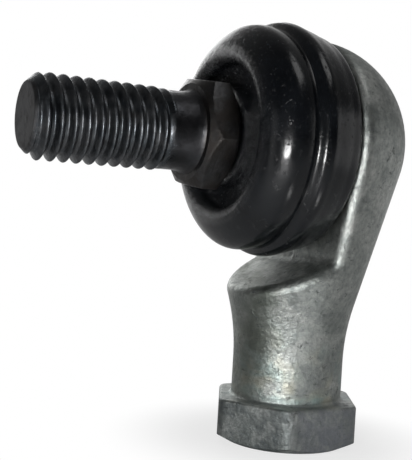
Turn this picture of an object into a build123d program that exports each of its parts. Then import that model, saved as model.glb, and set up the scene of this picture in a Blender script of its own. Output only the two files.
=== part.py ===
from build123d import *
from math import asin, atan2, cos, degrees, hypot, radians, sin, sqrt, tan
import os

# An angular ball joint rod end, in millimetres.
# A die-cast housing has a tapped shank with a wrench hexagon at its foot and a round head on top.
# The head holds a steel ball, and the threaded stud on the ball leaves at right angles to the shank.
# A moulded rubber boot closes the space between the stud and the head.
# Origin: centre of the shank's end face. +Z runs up the shank, and the stud points along -X.

# Thread size, the same in the shank and on the stud. The tapped hole is drawn at the thread's outer diameter.
thread_diameter = 8.0
thread_pitch = 1.25
thread_flank_angle = 60.0

# Housing, shank and hexagon
shank_diameter = 11.5
hexagon_step = 1.25
hexagon_height = 4.5
hexagon_corner_radius = 1.4
hexagon_face_margin = 0.65
hexagon_bevel_angle = 28.0
hexagon_edge_radius = 0.3
hexagon_root_radius = 0.3
tapped_floor = 1.46
tapped_mouth_bevel = 0.45
drill_point_angle = 118.0

# Housing, neck and head
ball_height = 31.0
head_diameter = 21.5
neck_start = 11.5
neck_blend_radius = 22.0
face_rim_radius = 1.0
ledge_root_radius = 1.2

# Swing of the stud to either side, and the room that the ledge leaves round the swung boot
swing_angle = 25.0
ledge_clearance = 11.0

# Spigot in front of the head: its lip holds the boot, and its mouth traps the ball
spigot_length = 3.2
spigot_neck_diameter = 16.6
spigot_lip_diameter = 18.0
spigot_lip_width = 1.3
spigot_mouth_bevel = 0.3

# Ball
ball_diameter = 12.7
ball_clearance = 0.03

# Stud, with distances along its axis from the ball's centre
stud_reach = 29.7
stud_end_bevel = 0.55
thread_start = 16.3
thread_end_land = 0.47
runout_diameter = 7.64
stud_root_diameter = 8.4
stud_root_length = 1.2
collar_end = 13.45
collar_start = 10.4
collar_across_flats = 10.3
collar_face_diameter = 9.6
collar_bevel_angle = 35.0
collar_turn = 8.0
boot_seat_diameter = 7.6
boot_seat_start = 6.8
stud_neck_diameter = 6.6

# Boot, from the head's face outwards: skirt, raised band, bulge, and neck behind the mouth
fit_clearance = 0.04
boot_wall = 1.2
boot_gap = 0.1
boot_back = 0.4
boot_overhang = 0.35
boot_edge_radius = 0.5
boot_skirt_length = 3.3
boot_skirt_flare = 0.7
boot_band_ramp = 0.3
boot_band_height = 0.15
boot_band_width = 1.0
boot_band_radius = 0.3
boot_bulge_step = 2.1
boot_bulge_half_width = 3.5
boot_bulge_height = 6.45
boot_bulge_drop = 0.6
boot_crease_depth = 0.45
boot_lip_depth = 2.85
boot_mouth_depth = 1.0
boot_mouth_step = 1.25
boot_valley_depth = 1.105
boot_neck_length = 2.0
boot_neck_lip_radius = 0.35

# Sizes that follow from those above
shank_radius = shank_diameter / 2
head_radius = head_diameter / 2
thread_radius = thread_diameter / 2
ball_radius = ball_diameter / 2
socket_radius = ball_radius + ball_clearance
boot_seat_radius = boot_seat_diameter / 2
ball_centre = (0, 0, ball_height)
stud_axis = Axis(ball_centre, (-1, 0, 0))
# On the stud's profile plane, x is the distance along the stud and y is the radius.
stud_profile = Plane(origin=ball_centre, x_dir=(-1, 0, 0), z_dir=(0, 1, 0))

os.makedirs("parts", exist_ok=True)

# Housing
# The neck is a cone that meets the head's sphere without a crease and blends into the shank.
neck_run = ball_height - neck_start
taper = asin(head_radius / hypot(shank_radius, neck_run)) - atan2(shank_radius, neck_run)
cone_top = (head_radius * cos(taper), ball_height - head_radius * sin(taper))
blend_run = neck_blend_radius * tan(taper / 2)
blend_start = (shank_radius, neck_start - blend_run)
blend_end = (shank_radius + blend_run * sin(taper), neck_start + blend_run * cos(taper))
head_side = (head_radius, ball_height)
head_top = (0, ball_height + head_radius)
# The bevel of the hexagon leaves a round end face and takes off its corners.
hexagon_corner_reach = (shank_radius + hexagon_step) * 2 / sqrt(3)
hexagon_face_radius = shank_radius + hexagon_face_margin
hexagon_bevel = (hexagon_corner_reach - hexagon_face_radius) * tan(radians(hexagon_bevel_angle))
# The ledge under the boot runs parallel to the stud when the stud is swung fully down.
swing = radians(swing_angle)
ledge_height = ball_height - ledge_clearance / cos(swing)
cut_reach = head_diameter
spigot_lip_start = spigot_length - spigot_lip_width
# The tapped hole's drill point leaves a floor under the ledge.
drill_point = ledge_height - tapped_floor
tapped_depth = drill_point - thread_radius / tan(radians(drill_point_angle / 2))

with BuildPart() as housing:
    with BuildSketch(Plane.XY):
        RegularPolygon(hexagon_corner_reach, 6)
        fillet(vertices(), hexagon_corner_radius)
    extrude(amount=hexagon_height)
    with BuildSketch(Plane.XZ):
        with BuildLine():
            Polyline(
                (0, 0),
                (hexagon_face_radius, 0),
                (hexagon_corner_reach, hexagon_bevel),
                (hexagon_corner_reach, hexagon_height),
                (0, hexagon_height),
                close=True,
            )
        make_face()
    revolve(axis=Axis.Z, mode=Mode.INTERSECT)
    fillet(faces().sort_by(Axis.Z)[-1].edges(), hexagon_edge_radius)
    with BuildSketch(Plane.XZ):
        with BuildLine():
            Polyline(head_top, (0, 0), (shank_radius, 0), blend_start)
            TangentArc(blend_start, blend_end, tangent=(0, 1))
            Line(blend_end, cone_top)
            ThreePointArc(cone_top, head_side, head_top)
        make_face()
    revolve(axis=Axis.Z)
    shank_foot = edges().filter_by(GeomType.CIRCLE).sort_by_distance((shank_radius, 0, hexagon_height))[0]
    fillet(shank_foot, hexagon_root_radius)
    # Everything in front of the head's face and above the ledge is left open for the boot.
    with BuildSketch(Plane.XZ):
        with BuildLine():
            Polyline(
                (0, ledge_height),
                (0, ball_height + cut_reach),
                (-cut_reach, ball_height + cut_reach),
                (-cut_reach, ledge_height - cut_reach * tan(swing)),
                close=True,
            )
        make_face()
        fillet(vertices().sort_by_distance((0, ledge_height))[0], ledge_root_radius)
    extrude(amount=cut_reach, both=True, mode=Mode.SUBTRACT)
    fillet(edges(Select.NEW).filter_by(GeomType.LINE, reverse=True), face_rim_radius)
    # The spigot stands out from the face, and its lip traps the boot's bead.
    with BuildSketch(stud_profile):
        with BuildLine():
            Polyline(
                (-ball_radius, 0),
                (-ball_radius, spigot_neck_diameter / 2),
                (spigot_lip_start, spigot_neck_diameter / 2),
                (spigot_lip_start, spigot_lip_diameter / 2),
                (spigot_length, spigot_lip_diameter / 2),
                (spigot_length, 0),
                close=True,
            )
        make_face()
    revolve(axis=stud_axis)
    with Locations(ball_centre):
        Sphere(socket_radius, mode=Mode.SUBTRACT)
    chamfer(edges(Select.NEW).filter_by(GeomType.CIRCLE), spigot_mouth_bevel)
    # The tapped hole has a bevelled mouth and a drill point.
    with BuildSketch(Plane.XZ):
        with BuildLine():
            Polyline(
                (0, 0),
                (thread_radius + tapped_mouth_bevel, 0),
                (thread_radius, tapped_mouth_bevel),
                (thread_radius, tapped_depth),
                (0, drill_point),
                close=True,
            )
        make_face()
    revolve(axis=Axis.Z, mode=Mode.SUBTRACT)
housing.part.label = "housing"
export_step(housing.part, "parts/housing.step")

# Ball
with BuildPart() as ball:
    with Locations(ball_centre):
        Sphere(ball_radius)
ball.part.label = "ball"
export_step(ball.part, "parts/ball.step")

# Threaded stud, with a wrench collar, a seat for the boot and a hollow end that fits the ball
collar_corner_reach = collar_across_flats / sqrt(3)
collar_bevel = (collar_corner_reach - collar_face_diameter / 2) * tan(radians(collar_bevel_angle))
collar_back_bevel = (collar_corner_reach - collar_across_flats / 2) * tan(radians(collar_bevel_angle))
# The thread's relief is a row of ring grooves with its pitch and its basic section.
# The crest is an eighth of the pitch wide and the root a quarter.
flank_slope = tan(radians(thread_flank_angle))
groove_root_width = thread_pitch / 4
groove_depth = (thread_pitch * 7 / 8 - groove_root_width) / 2 * flank_slope
groove_width = groove_root_width + 2 * (groove_depth + fit_clearance) / flank_slope
thread_shoulder = thread_start + thread_radius - runout_diameter / 2
last_crest = stud_reach - stud_end_bevel - thread_end_land
groove_count = int((last_crest - thread_shoulder) / thread_pitch)
groove_middle = last_crest - groove_count * thread_pitch / 2
collar_plane = Plane(
    origin=(-collar_start, 0, ball_height),
    x_dir=(0, cos(radians(collar_turn)), sin(radians(collar_turn))),
    z_dir=(-1, 0, 0),
)
with BuildPart() as ball_stud:
    with BuildSketch(collar_plane):
        RegularPolygon(collar_corner_reach, 6)
    extrude(amount=collar_end - collar_start)
    with BuildSketch(stud_profile):
        with BuildLine():
            Polyline(
                (collar_start, 0),
                (collar_start, collar_across_flats / 2),
                (collar_start + collar_back_bevel, collar_corner_reach),
                (collar_end - collar_bevel, collar_corner_reach),
                (collar_end, collar_face_diameter / 2),
                (collar_end, 0),
                close=True,
            )
        make_face()
    revolve(axis=stud_axis, mode=Mode.INTERSECT)
    with BuildSketch(stud_profile):
        with BuildLine():
            Polyline(
                (0, 0),
                (0, stud_neck_diameter / 2),
                (boot_seat_start, stud_neck_diameter / 2),
                (boot_seat_start + boot_seat_radius - stud_neck_diameter / 2, boot_seat_radius),
                (collar_start, boot_seat_radius),
                (collar_end, boot_seat_radius),
                (collar_end, stud_root_diameter / 2),
                (collar_end + stud_root_length, runout_diameter / 2),
                (thread_start, runout_diameter / 2),
                (thread_shoulder, thread_radius),
                (stud_reach - stud_end_bevel, thread_radius),
                (stud_reach, thread_radius - stud_end_bevel),
                (stud_reach, 0),
                close=True,
            )
        make_face()
    revolve(axis=stud_axis)
    with BuildSketch(stud_profile):
        with Locations((groove_middle, thread_radius - groove_depth)):
            with GridLocations(thread_pitch, thread_pitch, groove_count, 1):
                Trapezoid(
                    groove_width,
                    groove_depth + fit_clearance,
                    thread_flank_angle,
                    rotation=180,
                    align=(Align.CENTER, Align.MAX),
                )
    revolve(axis=stud_axis, mode=Mode.SUBTRACT)
    with Locations(ball_centre):
        Sphere(ball_radius + fit_clearance, mode=Mode.SUBTRACT)
ball_stud.part.label = "ball_stud"
export_step(ball_stud.part, "parts/ball_stud.step")

# Boot, one moulding: a bead in the spigot's neck, a skirt, a raised band, a rolled bulge and a neck
bead_radius = spigot_neck_diameter / 2 + fit_clearance
bead_front = spigot_lip_start - fit_clearance
pocket_radius = spigot_lip_diameter / 2 + fit_clearance
pocket_front = spigot_length + boot_gap
bore_radius = boot_seat_radius + fit_clearance
edge_radius = head_radius + boot_overhang
skirt_end = boot_back + boot_skirt_length
skirt_radius = edge_radius + boot_skirt_flare
band_start = skirt_end + boot_band_ramp
band_radius = skirt_radius + boot_band_height
band_end = band_start + boot_band_width
# The bulge and the hollow behind it are ellipses about one centre.
bulge_radius = band_radius - boot_bulge_drop
bulge_middle = band_end + boot_bulge_step
ring_radius = bulge_radius - boot_bulge_height
bulge_centre = (bulge_middle, ring_radius)
hollow_height = boot_bulge_height - boot_wall
hollow_half_width = boot_bulge_half_width - boot_wall
crease_angle = degrees(asin(1 - boot_crease_depth / boot_bulge_height))
lip_angle = degrees(asin(1 - boot_lip_depth / boot_bulge_height))
roll_angle = 180 - crease_angle - lip_angle
# The mouth ends in a valley with a round bottom. The neck inside it grips the stud.
mouth_radius = bulge_radius - boot_lip_depth - boot_mouth_step
mouth_start = bulge_middle + boot_bulge_half_width * cos(radians(lip_angle)) - boot_mouth_depth
neck_radius = bore_radius + boot_wall
valley_half_width = (mouth_radius - neck_radius) / 2
valley_middle = mouth_start - boot_gap
valley_start = valley_middle - boot_valley_depth
valley_back = valley_start - boot_wall
neck_end = valley_start + boot_neck_length
with BuildPart() as dust_boot:
    with BuildSketch(stud_profile):
        with BuildLine():
            bulge = EllipticalCenterArc(
                bulge_centre, boot_bulge_half_width, boot_bulge_height, lip_angle, arc_size=roll_angle
            )
            lip = TangentArc(bulge @ 0, (mouth_start, mouth_radius), tangent=bulge % 0 * -1)
            Line(lip @ 1, (valley_middle, mouth_radius))
            EllipticalCenterArc(
                (valley_middle, mouth_radius - valley_half_width),
                boot_valley_depth,
                valley_half_width,
                90,
                arc_size=180,
            )
            hollow = EllipticalCenterArc(
                bulge_centre, hollow_half_width, hollow_height, lip_angle, arc_size=roll_angle
            )
            Polyline(
                (valley_middle, neck_radius),
                (neck_end, neck_radius),
                (neck_end, bore_radius),
                (valley_back, bore_radius),
                (valley_back, mouth_radius),
                (valley_start, mouth_radius + boot_wall),
                hollow @ 0,
            )
            Polyline(
                hollow @ 1,
                (band_start, band_radius - boot_wall),
                (pocket_front, edge_radius - boot_wall),
                (pocket_front, pocket_radius),
                (bead_front, pocket_radius),
                (bead_front, bead_radius),
                (boot_back, bead_radius),
                (boot_back, edge_radius),
                (skirt_end, skirt_radius),
                (band_start, band_radius),
                (band_end, band_radius),
                bulge @ 1,
            )
        make_face()
        fillet(vertices().filter_by_position(Axis.Y, skirt_radius, band_radius), boot_band_radius)
        fillet(vertices().sort_by_distance((boot_back, edge_radius))[0], boot_edge_radius)
        fillet(vertices().sort_by_distance((neck_end, neck_radius))[0], boot_neck_lip_radius)
    revolve(axis=stud_axis)
dust_boot.part.label = "dust_boot"
export_step(dust_boot.part, "parts/dust_boot.step")
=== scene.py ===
import math

import bpy
from mathutils import Matrix, Vector


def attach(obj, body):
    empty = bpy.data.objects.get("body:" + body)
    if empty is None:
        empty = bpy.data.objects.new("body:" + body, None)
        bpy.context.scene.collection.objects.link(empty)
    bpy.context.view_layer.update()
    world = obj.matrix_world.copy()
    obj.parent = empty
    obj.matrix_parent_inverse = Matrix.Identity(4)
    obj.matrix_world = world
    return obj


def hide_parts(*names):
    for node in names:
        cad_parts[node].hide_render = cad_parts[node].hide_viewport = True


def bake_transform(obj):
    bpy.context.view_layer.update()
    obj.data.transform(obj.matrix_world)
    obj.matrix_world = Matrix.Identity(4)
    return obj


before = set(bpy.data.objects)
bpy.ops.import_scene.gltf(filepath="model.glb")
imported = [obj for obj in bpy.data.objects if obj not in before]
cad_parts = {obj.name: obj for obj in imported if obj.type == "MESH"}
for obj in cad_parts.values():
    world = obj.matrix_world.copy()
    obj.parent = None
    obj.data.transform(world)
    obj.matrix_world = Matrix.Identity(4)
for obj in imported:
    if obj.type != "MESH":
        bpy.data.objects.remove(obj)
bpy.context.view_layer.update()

# Lengths are in millimetres and are turned into metres where Blender reads them. Only the lamps and the
# studio are written in metres.
MM = 0.001
# The ball's centre stands this far above the origin, and the stud points from it along -X.
BALL_HEIGHT = 31.0
HEXAGON_TOP = 4.5
PITCH = 1.25

# Camera, fitted to the photograph: place, direction in degrees, and the lens in pixels of its frame
CAMERA_PLACE = (-52.153, -76.226, 23.321)
CAMERA_YAW = 28.5856
CAMERA_PITCH = 1.2293
CAMERA_ROLL = 3.3352
CAMERA_FOCUS = 872.479
FRAME_PIXELS = 460
HALF_PIXEL = 0.5 / FRAME_PIXELS
SENSOR_WIDTH = 36.0

# Lamps: name, place, target, size and power, in metres and watts
LAMPS = (
    ("key_lamp", (-0.063, -0.061, 0.015), (-0.006, -0.006, 0.022), (0.024, 0.010), 0.041),
    ("floor_bounce", (0.000, -0.028, 0.0015), (-0.008, -0.009, 0.026), (0.010, 0.006), 0.0006),
    ("left_strip", (-0.085, -0.012, 0.024), (-0.002, -0.006, 0.026), (0.020, 0.060), 0.0018),
    ("ledge_lamp", (0.036, -0.058, 0.150), (-0.004, -0.006, 0.020), (0.060, 0.060), 0.018),
    ("side_window", (0.120, -0.060, 0.040), (0.004, -0.006, 0.030), (0.080, 0.080), 0.010),
    ("back_lamp", (0.030, 0.170, 0.090), (0.0, 0.0, 0.020), (0.120, 0.120), 0.09),
)

# Studio, in metres: half the floor's side, and the ring round the origin over which the floor that the camera
# sees turns from lightened shadow to plain white
FLOOR_REACH = 1.6
SHADOW_INSIDE = 0.0075
SHADOW_OUTSIDE = 0.020
SHADOW_WHITE = 0.72
# The direction behind the object. Along it the room gets lighter, and reflections turn to the white of the
# background.
BEHIND = (0.42, 0.88, 0.12)
ROOM_TURNS = (-0.35, 1.0)
ROOM_STRENGTH = (0.05, 0.24)
FLOOR_TURNS_WHITE = (0.04, 0.30)
ROOM_TURNS_WHITE = (0.58, 1.20)

# Casting: pairs of places between which a change of its surface sets in, along Z for the film and along X for
# the rest. Among them are the painted shade on the shank's left flank, the painted highlight on the hexagon's
# front corner and the painted shade on its left facet. The flank shade's line leans from X by a share of Y.
FILM_ON_SHANK = (13, 6)
SHADE_FLANK_LEAN = 0.35
SHADE_FLANK_BEGINS = (-1.8, -4.2)
SHADE_FLANK_EASES = (-6.4, -5.2)
CORNER_HIGHLIGHT_OUTSIDE = (-4.8, -3.6)
CORNER_HIGHLIGHT_INSIDE = (-3.0, -3.3)
STAIN_SHADED_TO_LEFT = (-2.4, -4.2)
LEDGE_SIDE = (4, 2)
PARTING_SIDE = (-4, 0)
# The line where the die parts: half its width, and how far it wanders from side to side
PARTING_HALF_WIDTH = 0.15
PARTING_WANDER = 0.12

# Stud, as distances along it from the ball's centre and radii. The thread is right-handed.
STUD_ANGLES = 192
STUD_END = 29.7
COLLAR_FLATS = 10.28
COLLAR_TURN = math.radians(8)
COLLAR_BACK = 10.41
COLLAR_FRONT = 13.44
COLLAR_RINGS = 24
BEVEL_ANGLE = math.radians(35)
BEVEL_BACK_RADIUS = 5.1
BEVEL_FRONT_RADIUS = 4.75
# The round rings before and after the collar
STUD_ROOT = (
    (6.0, 0.02), (6.0, 1.5), (5.6, 3.27), (6.8, 3.28), (7.3, 3.78), (10.38, 3.79), (COLLAR_BACK, 3.9),
)
STUD_NECK = (
    (13.445, 4.4), (13.46, 4.19), (13.6, 4.10), (13.9, 3.97), (14.3, 3.88), (14.8, 3.82), (16.1, 3.81),
)
CREST_AT = 28.6785
CREST_RADIUS = 3.985
# The groove's depth, and how far from its crest in turns the thread reaches it
THREAD_DEPTH = 0.68
THREAD_FLANK = 0.42
THREAD_START = 16.2
THREAD_FULL = 17.7
THREAD_STEP = 0.048
# The crest starts this much lower and rises over this length.
RUN_IN_DROP = 0.16
RUN_IN_LENGTH = 0.7
END_BEVEL = 0.95
# The end face: how far before the stud's end its edge and its rings lie, and the shares of its radius
END_EDGE = 0.025
END_FACE = 0.005
END_SHARES = (0.97, 0.9, 0.7, 0.45, 0.2, 0.02)

# Stud's surface: distances along it over which a film, shade or roughness sets in
FILM_AT_COLLAR = (14.3, 13.4)
FILM_AT_RUN_IN = (16.6, 15.8)
FILM_AT_END = (29.4, 29.6)
SHADE_AFTER_COLLAR = (13.4, 13.8)
SHADE_BEFORE_THREAD = (16.8, 16.0)
THREAD_ROUGHENS = (16.2, 17.2)

# Boot: distance along the stud and radius of the few points that its outline passes through, from the skirt's
# edge round the outside to the neck, and back inside to the skirt
BOOT_OUTSIDE = (
    (0.42, 8.36), (0.42, 10.35), (0.49, 10.78), (1.9, 11.36), (3.5, 11.76), (4.35, 11.93), (4.92, 11.8),
    (5.66, 11.09), (6.25, 11.23), (7.6, 11.27), (9.92, 8.65), (10.0, 8.3), (9.88, 7.68), (9.38, 7.3),
    (8.35, 7.14), (7.86, 6.45), (8.25, 5.22), (9.1, 5.04), (9.68, 4.93), (9.72, 3.92),
)
BOOT_INSIDE = (
    (9.3, 3.85), (8.9, 3.85), (7.9, 4.5), (7.1, 5.6), (7.1, 7.3), (7.9, 8.45), (8.9, 8.5), (8.3, 9.75),
    (6.9, 10.15), (5.7, 10.0), (4.0, 10.72), (3.32, 10.3), (3.32, 9.1), (1.9, 9.05), (1.83, 8.36),
)
# The rings lie about this far apart along the outside's curve.
BOOT_STEP = 0.12
BOOT_ANGLES = 240
# Grease round the boot's mouth: the radii and the distances along the stud over which it sets in
GREASE_REACH = (9.2, 8.0)
GREASE_FRONT = (7.4, 7.8)

# Thread in the shank: a ridge on the hole's wall, with the half widths and radii of its section
RIDGE_START = 0.7
RIDGE_TURNS = 11
RIDGE_STEPS = 72
RIDGE_FOOT = 0.56
RIDGE_TOP = 0.1
RIDGE_WALL = 3.99
RIDGE_TIP = 3.98
RIDGE_HEIGHT = 0.64
# The ridge's width where it starts and ends, as a share of its full width
RIDGE_NARROW = 0.3


def clamp(x, low=0.0, high=1.0):
    return max(low, min(high, x))


def smooth(x, start, end):
    t = clamp((x - start) / (end - start))
    return t * t * (3 - 2 * t)


# Camera at the photograph's angle
def aim_camera():
    yaw, pitch, roll = (math.radians(a) for a in (CAMERA_YAW, CAMERA_PITCH, CAMERA_ROLL))
    look = Vector((math.sin(yaw) * math.cos(pitch), math.cos(yaw) * math.cos(pitch), -math.sin(pitch)))
    level = Vector((math.cos(yaw), -math.sin(yaw), 0))
    upright = level.cross(look)
    right = math.cos(roll) * level + math.sin(roll) * upright
    up = math.cos(roll) * upright - math.sin(roll) * level
    data = bpy.data.cameras.new("photo_camera")
    data.sensor_width = SENSOR_WIDTH
    data.lens = CAMERA_FOCUS / FRAME_PIXELS * SENSOR_WIDTH
    data.shift_x = -HALF_PIXEL
    data.shift_y = HALF_PIXEL
    data.clip_start = 1 * MM
    camera = bpy.data.objects.new("photo_camera", data)
    turn = Matrix((right, up, -look)).transposed().to_4x4()
    camera.matrix_world = Matrix.Translation(Vector(CAMERA_PLACE) * MM) @ turn
    bpy.context.scene.collection.objects.link(camera)
    bpy.context.scene.camera = camera


# Node helpers that the materials and the world share
class Nodes:
    def __init__(self, tree, output):
        self.tree = tree
        self.tree.nodes.clear()
        self.out = self.add(output)

    def add(self, kind, **sockets):
        node = self.tree.nodes.new(kind)
        for key, value in sockets.items():
            self.set(node, key, value)
        return node

    def set(self, node, key, value):
        socket = node.inputs[key.replace("_", " ")] if isinstance(key, str) else node.inputs[key]
        if isinstance(value, bpy.types.NodeSocket):
            self.tree.links.new(value, socket)
        elif socket.type == "RGBA":
            socket.default_value = (*value, 1)
        else:
            socket.default_value = value

    def math(self, operation, a, b=0.0):
        node = self.add("ShaderNodeMath")
        node.operation = operation
        self.set(node, 0, a)
        self.set(node, 1, b)
        return node.outputs[0]

    def product(self, first, *others):
        for other in others:
            first = self.math("MULTIPLY", first, other)
        return first

    def total(self, first, *others):
        for other in others:
            first = self.math("ADD", first, other)
        return first

    def larger(self, a, b):
        return self.math("MAXIMUM", a, b)

    def ramp(self, value, start, end, low=0.0, high=1.0, soft=False):
        node = self.add("ShaderNodeMapRange")
        node.interpolation_type = "SMOOTHSTEP" if soft else "LINEAR"
        self.set(node, "Value", value)
        for key, number in zip(("From Min", "From Max", "To Min", "To Max"), (start, end, low, high)):
            self.set(node, key, number)
        return node.outputs["Result"]

    # How much of the white background a ray sees: all of it from the camera, and in reflections the part that
    # lies behind the object
    def background_share(self, behind):
        path = self.add("ShaderNodeLightPath").outputs
        mirrored = self.larger(path["Is Glossy Ray"], path["Is Transmission Ray"])
        return self.larger(path["Is Camera Ray"], self.product(mirrored, behind))

    def choose(self, share, first, second):
        node = self.add("ShaderNodeMixShader")
        for key, value in enumerate((share, first.outputs[0], second.outputs[0])):
            self.set(node, key, value)
        self.set(self.out, 0, node.outputs[0])


class Material(Nodes):
    def __init__(self, name):
        self.material = bpy.data.materials.new(name)
        self.material.use_nodes = True
        super().__init__(self.material.node_tree, "ShaderNodeOutputMaterial")
        self.place = self.add("ShaderNodeTexCoord").outputs["Object"]

    # Noise with its scale per metre, and with a scale for each axis where it is stretched
    def noise(self, scale, detail=4.0, roughness=0.55, distortion=0.0, stretch=None):
        vector = self.place
        if stretch:
            vector = self.add("ShaderNodeMapping", Vector=self.place, Scale=stretch).outputs[0]
        sockets = {"Scale": scale, "Detail": detail, "Roughness": roughness, "Distortion": distortion}
        return self.add("ShaderNodeTexNoise", Vector=vector, **sockets).outputs["Fac"]

    def mix(self, factor, a, b):
        node = self.add("ShaderNodeMix")
        node.data_type = "RGBA"
        for key, value in ((0, factor), (6, a), (7, b)):
            self.set(node, key, value)
        return node.outputs[2]

    def axes(self, vector):
        return self.add("ShaderNodeSeparateXYZ", Vector=vector).outputs

    # The place on the object in millimetres
    def where(self):
        node = self.add("ShaderNodeVectorMath")
        node.operation = "SCALE"
        self.set(node, 0, self.place)
        self.set(node, "Scale", 1 / MM)
        return self.axes(node.outputs[0])

    def bump(self, height, distance, strength, normal=None):
        node = self.add("ShaderNodeBump", Height=height, Distance=distance * MM, Strength=strength)
        if normal:
            self.set(node, "Normal", normal)
        return node.outputs[0]

    def surface(self, **sockets):
        shader = self.add("ShaderNodeBsdfPrincipled", **sockets)
        self.set(self.out, 0, shader.outputs[0])
        return self.material


# Die-cast zinc: blotches, an oily film low on the shank, painted shade on the shank's left flank, and a
# stained hexagon whose stain deepens towards the left facet as painted shade and is left off the front corner
# as a painted highlight. Also pits and streaks, and the line where the die parts
def zinc_casting():
    n = Material("zinc_casting")
    x, y, z = n.where()
    blotch = n.ramp(n.noise(380, 5, 0.62, distortion=0.8), 0.36, 0.66)
    fine = n.ramp(n.noise(2300, 5, 0.65), 0.34, 0.66)
    base = n.mix(blotch, (0.30, 0.325, 0.31), (0.60, 0.615, 0.59))
    base = n.mix(n.product(fine, 0.55), base, (0.20, 0.22, 0.215))

    hue = n.ramp(n.noise(240, 3, 0.5, distortion=1.2), 0.42, 0.58)
    tint = n.mix(hue, (0.34, 0.49, 0.47), (0.58, 0.56, 0.42))
    clouds = n.ramp(n.noise(330, 3, 0.5), 0.42, 0.60)
    on_shank = n.product(n.ramp(z, *FILM_ON_SHANK), n.ramp(z, HEXAGON_TOP - 0.3, HEXAGON_TOP + 0.7))
    base = n.mix(n.product(clouds, on_shank, 0.5), base, tint)

    # Painted shade: the shank's left flank, between its highlight and its edge, is darkened.
    aside = n.math("SUBTRACT", x, n.product(y, SHADE_FLANK_LEAN))
    painted_flank_shade = n.product(n.ramp(aside, *SHADE_FLANK_BEGINS), n.ramp(aside, *SHADE_FLANK_EASES, 0.35, 1.0))
    painted_flank_shade = n.product(painted_flank_shade, n.ramp(z, HEXAGON_TOP, HEXAGON_TOP + 2.5))
    patches = n.ramp(n.noise(260, 4, 0.6, distortion=0.6), 0.30, 0.62, 0.3, 1.0)
    base = n.mix(n.product(painted_flank_shade, patches, 0.9), base, (0.13, 0.145, 0.125))

    facets = n.ramp(z, HEXAGON_TOP + 0.2, HEXAGON_TOP - 0.3)
    spots = n.ramp(n.noise(520, 5, 0.65, distortion=0.8), 0.34, 0.60, 0.35, 1.0)
    # Painted highlight: the stain is left off the hexagon's front corner, which turns lighter.
    painted_corner_highlight = n.product(n.ramp(x, *CORNER_HIGHLIGHT_OUTSIDE), n.ramp(x, *CORNER_HIGHLIGHT_INSIDE), 0.4)
    stain_and_corner_highlight = n.product(facets, spots, n.math("SUBTRACT", 1.0, painted_corner_highlight))
    # Painted shade: the stain's colour darkens towards the hexagon's left facet.
    stain_colour_and_shade = n.mix(n.ramp(x, *STAIN_SHADED_TO_LEFT), (0.24, 0.255, 0.28), (0.10, 0.115, 0.12))
    base = n.mix(n.product(stain_and_corner_highlight, 0.85), base, stain_colour_and_shade)

    streaks = n.ramp(n.noise(1.0, 5, 0.68, stretch=(1000, 1000, 2600)), 0.60, 0.70)
    groups = n.ramp(n.noise(210, 4, 0.6), 0.44, 0.60, 0.35, 1.0)
    pits = n.product(n.ramp(n.noise(1250, 6, 0.7, distortion=0.5), 0.57, 0.68), groups)
    dark = n.larger(n.product(streaks, 0.6), n.product(pits, 0.85))
    base = n.mix(dark, base, (0.08, 0.09, 0.09))

    facing = n.axes(n.add("ShaderNodeNewGeometry").outputs["Normal"])
    ledge = n.product(n.ramp(facing[2], 0.55, 0.8), n.ramp(x, *LEDGE_SIDE))
    rough = n.total(n.ramp(blotch, 0, 1, 0.33, 0.45), n.product(fine, 0.09), n.product(dark, 0.15))
    rough = n.total(rough, n.product(stain_and_corner_highlight, 0.12), n.product(ledge, 0.12))

    relief = n.bump(n.noise(1900, 6, 0.66), 0.11, 0.8)
    relief = n.bump(n.noise(330, 3, 0.55), 0.34, 0.5, relief)
    relief = n.bump(pits, 0.05, 0.6, relief)
    wander = n.product(n.math("SUBTRACT", n.noise(500, 2), 0.5), PARTING_WANDER)
    parting = n.ramp(n.math("ABSOLUTE", n.total(y, wander)), 0, PARTING_HALF_WIDTH, 1, 0)
    parting = n.product(parting, n.ramp(n.noise(900, 3), 0.3, 0.6, 0.4, 1), n.ramp(x, *PARTING_SIDE))
    relief = n.bump(parting, 0.08, 0.9, relief)
    base = n.mix(n.product(parting, 0.35), base, (0.66, 0.66, 0.64))
    return n.surface(Base_Color=base, Roughness=rough, Metallic=1.0, Normal=relief)


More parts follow.
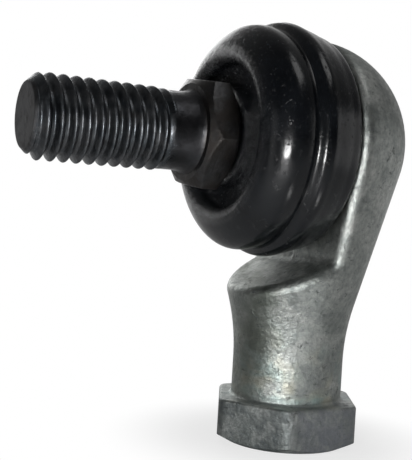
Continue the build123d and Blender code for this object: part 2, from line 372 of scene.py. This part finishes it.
# Blackened and oiled steel of the stud: a brownish film on the collar, the run-in and the end face, painted
# shade on the neck, and edges worn a little brighter
def stud_steel():
    n = Material("stud_steel")
    s = n.product(n.where()[0], -1.0)
    blotch = n.ramp(n.noise(500, 5, 0.6, distortion=0.8), 0.4, 0.62)
    base = n.mix(blotch, (0.085, 0.095, 0.105), (0.135, 0.140, 0.148))
    grime = n.ramp(n.noise(900, 5, 0.7), 0.50, 0.68)
    base = n.mix(n.product(grime, 0.6), base, (0.050, 0.046, 0.044))

    filmed = n.larger(n.ramp(s, *FILM_AT_COLLAR), n.ramp(s, *FILM_AT_RUN_IN, 0, 0.8))
    patches = n.ramp(n.noise(420, 4, 0.6), 0.32, 0.58, 0.55, 1.0)
    film = n.larger(n.product(filmed, patches), n.ramp(s, *FILM_AT_END, 0, 0.5))
    base = n.mix(film, base, (0.055, 0.050, 0.047))
    # Painted shade: the neck between the collar and the thread is darkened.
    neck_painted_shade = n.product(n.ramp(s, *SHADE_BEFORE_THREAD), n.ramp(s, *SHADE_AFTER_COLLAR))
    base = n.mix(n.product(neck_painted_shade, 0.65), base, (0.050, 0.052, 0.058))
    edges = n.ramp(n.add("ShaderNodeNewGeometry").outputs["Pointiness"], 0.52, 0.62)
    base = n.mix(n.product(edges, 0.2), base, (0.20, 0.21, 0.22))

    rough = n.total(n.ramp(blotch, 0, 1, 0.20, 0.30), n.product(grime, 0.12), n.product(film, 0.18))
    rough = n.total(rough, n.ramp(s, *THREAD_ROUGHENS, 0, 0.12))
    relief = n.bump(n.noise(1.0, 3, 0.6, stretch=(5200, 300, 300)), 0.03, 0.5)
    relief = n.bump(n.noise(1700, 4, 0.6), 0.06, 0.7, relief)
    return n.surface(Base_Color=base, Roughness=rough, Metallic=1.0, Normal=relief)


# Ground and greased ball
def ball_steel():
    n = Material("ball_steel")
    smear = n.ramp(n.noise(600, 4, 0.6, distortion=1.0), 0.42, 0.62)
    base = n.mix(smear, (0.60, 0.60, 0.61), (0.42, 0.36, 0.24))
    rough = n.ramp(smear, 0, 1, 0.12, 0.38)
    relief = n.bump(smear, 0.03, 0.4)
    return n.surface(Base_Color=base, Roughness=rough, Metallic=1.0, Normal=relief)


# Moulded black rubber with a soft sheen, a little dust, fine specks, and grease smeared round the mouth
def boot_rubber():
    n = Material("boot_rubber")
    x, y, z = n.where()
    cloud = n.ramp(n.noise(300, 4, 0.6), 0.35, 0.65)
    base = n.mix(cloud, (0.0018, 0.0024, 0.0034), (0.0050, 0.0062, 0.0080))
    grain = n.noise(2300, 5, 0.7)
    dust = n.product(n.ramp(grain, 0.56, 0.74), n.ramp(n.noise(350, 3), 0.45, 0.65))
    base = n.mix(n.product(dust, 0.25), base, (0.08, 0.08, 0.078))

    rise = n.math("SUBTRACT", z, BALL_HEIGHT)
    reach = n.math("SQRT", n.total(n.product(y, y), n.product(rise, rise)))
    mouth = n.product(n.ramp(reach, *GREASE_REACH), n.ramp(n.product(x, -1.0), *GREASE_FRONT))
    smear = n.product(mouth, n.ramp(n.noise(1500, 6, 0.75, distortion=0.6), 0.40, 0.62))
    base = n.mix(n.product(smear, 0.2), base, (0.024, 0.025, 0.027))

    rough = n.total(n.ramp(cloud, 0, 1, 0.18, 0.24), n.product(dust, 0.25), n.product(smear, -0.08))
    relief = n.bump(n.noise(3800, 3, 0.5), 0.02, 0.5)
    relief = n.bump(n.noise(420, 3, 0.5), 0.12, 0.35, relief)
    relief = n.bump(n.ramp(grain, 0.60, 0.72), 0.04, 0.5, relief)
    relief = n.bump(smear, 0.12, 0.7, relief)
    return n.surface(Base_Color=base, Roughness=rough, Metallic=0.0, Normal=relief, Specular_IOR_Level=0.5)


# A surface of rings that all have the same number of points, joined end to end or capped at both ends
def ring_mesh(name, rings, material, joined=False):
    count = len(rings[0])
    points = [tuple(c * MM for c in p) for ring in rings for p in ring]
    faces = []
    last = len(rings) if joined else len(rings) - 1
    for i in range(last):
        a, b = i * count, (i + 1) % len(rings) * count
        for k in range(count):
            m = (k + 1) % count
            faces.append((a + k, a + m, b + m, b + k))
    if not joined:
        faces.append(tuple(reversed(range(count))))
        faces.append(tuple(range((len(rings) - 1) * count, len(rings) * count)))
    mesh = bpy.data.meshes.new(name)
    mesh.from_pydata(points, [], faces)
    mesh.validate()
    mesh.polygons.foreach_set("use_smooth", [True] * len(mesh.polygons))
    mesh.materials.append(material)
    piece = bpy.data.objects.new(name, mesh)
    bpy.context.scene.collection.objects.link(piece)
    return piece


def crisp(piece, degrees):
    piece.data.set_sharp_from_angle(angle=math.radians(degrees))


def on_stud(s, radius, angle):
    return (-s, -radius * math.cos(angle), BALL_HEIGHT + radius * math.sin(angle))


# Radius of the helical thread, which deepens after the neck and ends in a bevel
def thread_radius(s, angle):
    turns = (s - CREST_AT) / PITCH - angle / (2 * math.pi)
    off_crest = abs(turns - round(turns))
    depth = THREAD_DEPTH * smooth(off_crest, 0, THREAD_FLANK) * smooth(s, THREAD_START, THREAD_FULL)
    drop = RUN_IN_DROP * (1 - smooth(s, THREAD_START, THREAD_START + RUN_IN_LENGTH))
    return min(CREST_RADIUS - depth - drop, CREST_RADIUS - END_BEVEL + (STUD_END - s) * END_BEVEL)


# Radius of the hexagonal collar, whose corners are bevelled at the back and in front
def collar_radius(s, angle):
    sector = math.radians(60)
    a = (angle + COLLAR_TURN + sector / 2) % sector - sector / 2
    flat = COLLAR_FLATS / 2 / math.cos(sector / 2 - abs(a))
    back = BEVEL_BACK_RADIUS + (s - COLLAR_BACK) / math.tan(BEVEL_ANGLE)
    front = BEVEL_FRONT_RADIUS + (COLLAR_FRONT - s) / math.tan(BEVEL_ANGLE)
    return min(flat, back, front)


def build_stud(material):
    angles = [-COLLAR_TURN + 2 * math.pi * k / STUD_ANGLES for k in range(STUD_ANGLES)]

    def ring(s, radius_at):
        return [on_stud(s, radius_at(a), a) for a in angles]

    rings = [ring(s, lambda a: radius) for s, radius in STUD_ROOT]
    for k in range(COLLAR_RINGS + 1):
        s = COLLAR_BACK + (COLLAR_FRONT - COLLAR_BACK) * k / COLLAR_RINGS
        rings.append(ring(s, lambda a: collar_radius(s, a)))
    rings += [ring(s, lambda a: radius) for s, radius in STUD_NECK]
    s = THREAD_START
    while s < STUD_END:
        rings.append(ring(s, lambda a: thread_radius(s, a)))
        s += THREAD_STEP
    rings.append(ring(STUD_END - END_EDGE, lambda a: thread_radius(STUD_END, a)))
    for share in END_SHARES:
        rings.append(ring(STUD_END - END_FACE, lambda a: share * thread_radius(STUD_END, a)))
    stud = ring_mesh("stud_with_thread", rings, material)
    crisp(stud, degrees=32)
    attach(stud, "stud")
    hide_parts("ball_stud")


# A smooth curve through the points, with tangents weighted by the distances between them
def curve_through(points, step):
    runs = list(zip(points, points[1:]))
    lengths = [math.dist(p, q) for p, q in runs]
    slopes = [tuple((b - a) / length for a, b in zip(p, q)) for (p, q), length in zip(runs, lengths)]
    tangents = [slopes[0]]
    for i in range(1, len(runs)):
        before, after = lengths[i - 1], lengths[i]
        pairs = zip(slopes[i - 1], slopes[i])
        tangents.append(tuple((a * after + b * before) / (before + after) for a, b in pairs))
    tangents.append(slopes[-1])
    out = []
    for i, (p, q) in enumerate(runs):
        length = lengths[i]
        steps = max(2, round(length / step))
        for k in range(steps):
            t = k / steps
            rise = t * t * (3 - 2 * t)
            leave = t * (1 - t) * (1 - t) * length
            arrive = t * t * (t - 1) * length
            parts = zip(p, q, tangents[i], tangents[i + 1])
            out.append(tuple(a + (b - a) * rise + leave * m + arrive * w for a, b, m, w in parts))
    out.append(points[-1])
    return out


def build_boot(material):
    outline = curve_through(BOOT_OUTSIDE, BOOT_STEP) + list(BOOT_INSIDE)
    angles = [2 * math.pi * k / BOOT_ANGLES for k in range(BOOT_ANGLES)]
    rings = [[on_stud(s, radius, a) for a in angles] for s, radius in outline]
    boot = ring_mesh("rubber_boot", rings, material, joined=True)
    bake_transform(boot)
    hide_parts("dust_boot")


# Thread in the shank: one helical ridge that grows out of the hole's wall and sinks back into it
def build_inner_thread(material):
    rings = []
    last = RIDGE_TURNS * RIDGE_STEPS
    for i in range(last + 1):
        z = RIDGE_START + PITCH * i / RIDGE_STEPS
        a = 2 * math.pi * i / RIDGE_STEPS
        grown = smooth(i, 0, RIDGE_STEPS) * smooth(last - i, 0, RIDGE_STEPS / 2)
        tip = RIDGE_TIP - RIDGE_HEIGHT * grown
        width = RIDGE_NARROW + (1 - RIDGE_NARROW) * grown
        section = ((-RIDGE_FOOT, RIDGE_WALL), (-RIDGE_TOP, tip), (RIDGE_TOP, tip), (RIDGE_FOOT, RIDGE_WALL))
        rings.append([(radius * math.cos(a), radius * math.sin(a), z + dz * width) for dz, radius in section])
    ridge = ring_mesh("inner_thread", rings, material)
    crisp(ridge, degrees=40)
    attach(ridge, "housing")


# A pale paper floor that keeps the object's shadow and is plain white further out
def build_floor():
    mesh = bpy.data.meshes.new("floor")
    w = FLOOR_REACH
    mesh.from_pydata([(-w, -w, 0), (w, -w, 0), (w, w, 0), (-w, w, 0)], [], [(0, 1, 2, 3)])
    floor = bpy.data.objects.new("floor", mesh)
    bpy.context.scene.collection.objects.link(floor)
    n = Material("floor")
    x, y = n.axes(n.place)[:2]
    paper = n.mix(n.noise(60, 3), (0.90, 0.90, 0.90), (0.94, 0.94, 0.94))
    shaded = n.add("ShaderNodeBsdfDiffuse", Color=paper)
    white = n.add("ShaderNodeEmission", Color=(1, 1, 1), Strength=1.0)
    away = n.math("SQRT", n.total(n.product(x, x), n.product(y, y)))
    fade = n.ramp(away, SHADOW_INSIDE, SHADOW_OUTSIDE, SHADOW_WHITE, 1.0, soft=True)
    towards = n.total(n.product(x, BEHIND[0]), n.product(y, BEHIND[1]))
    share = n.background_share(n.ramp(towards, *FLOOR_TURNS_WHITE))
    n.choose(n.product(share, fade), shaded, white)
    mesh.materials.append(n.material)


# A white background, and a dim room that gets lighter behind the object
def build_world():
    world = bpy.data.worlds.new("studio")
    bpy.context.scene.world = world
    world.use_nodes = True
    n = Nodes(world.node_tree, "ShaderNodeOutputWorld")
    along = n.add("ShaderNodeVectorMath")
    along.operation = "DOT_PRODUCT"
    n.set(along, 0, n.add("ShaderNodeTexCoord").outputs["Generated"])
    n.set(along, 1, Vector(BEHIND).normalized())
    towards = along.outputs["Value"]
    strength = n.ramp(towards, *ROOM_TURNS, *ROOM_STRENGTH, soft=True)
    room = n.add("ShaderNodeBackground", Strength=strength)
    white = n.add("ShaderNodeBackground", Color=(1, 1, 1), Strength=1.0)
    n.choose(n.background_share(n.ramp(towards, *ROOM_TURNS_WHITE, soft=True)), room, white)


def build_lamps():
    for name, place, target, size, power in LAMPS:
        data = bpy.data.lights.new(name, "AREA")
        data.shape = "RECTANGLE"
        data.size, data.size_y = size
        data.energy = power
        lamp = bpy.data.objects.new(name, data)
        lamp.location = place
        lamp.rotation_euler = (Vector(target) - Vector(place)).to_track_quat("-Z", "Y").to_euler()
        lamp.visible_camera = False
        bpy.context.scene.collection.objects.link(lamp)


aim_camera()
zinc = zinc_casting()
steel = stud_steel()
rubber = boot_rubber()
finishes = {"housing": zinc, "ball": ball_steel(), "ball_stud": steel, "dust_boot": rubber}
for node, material in finishes.items():
    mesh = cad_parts[node].data
    mesh.materials.clear()
    mesh.materials.append(material)
build_stud(steel)
build_boot(rubber)
build_inner_thread(zinc)
build_floor()
build_world()
build_lamps()
bpy.context.scene.view_settings.view_transform = "Standard"
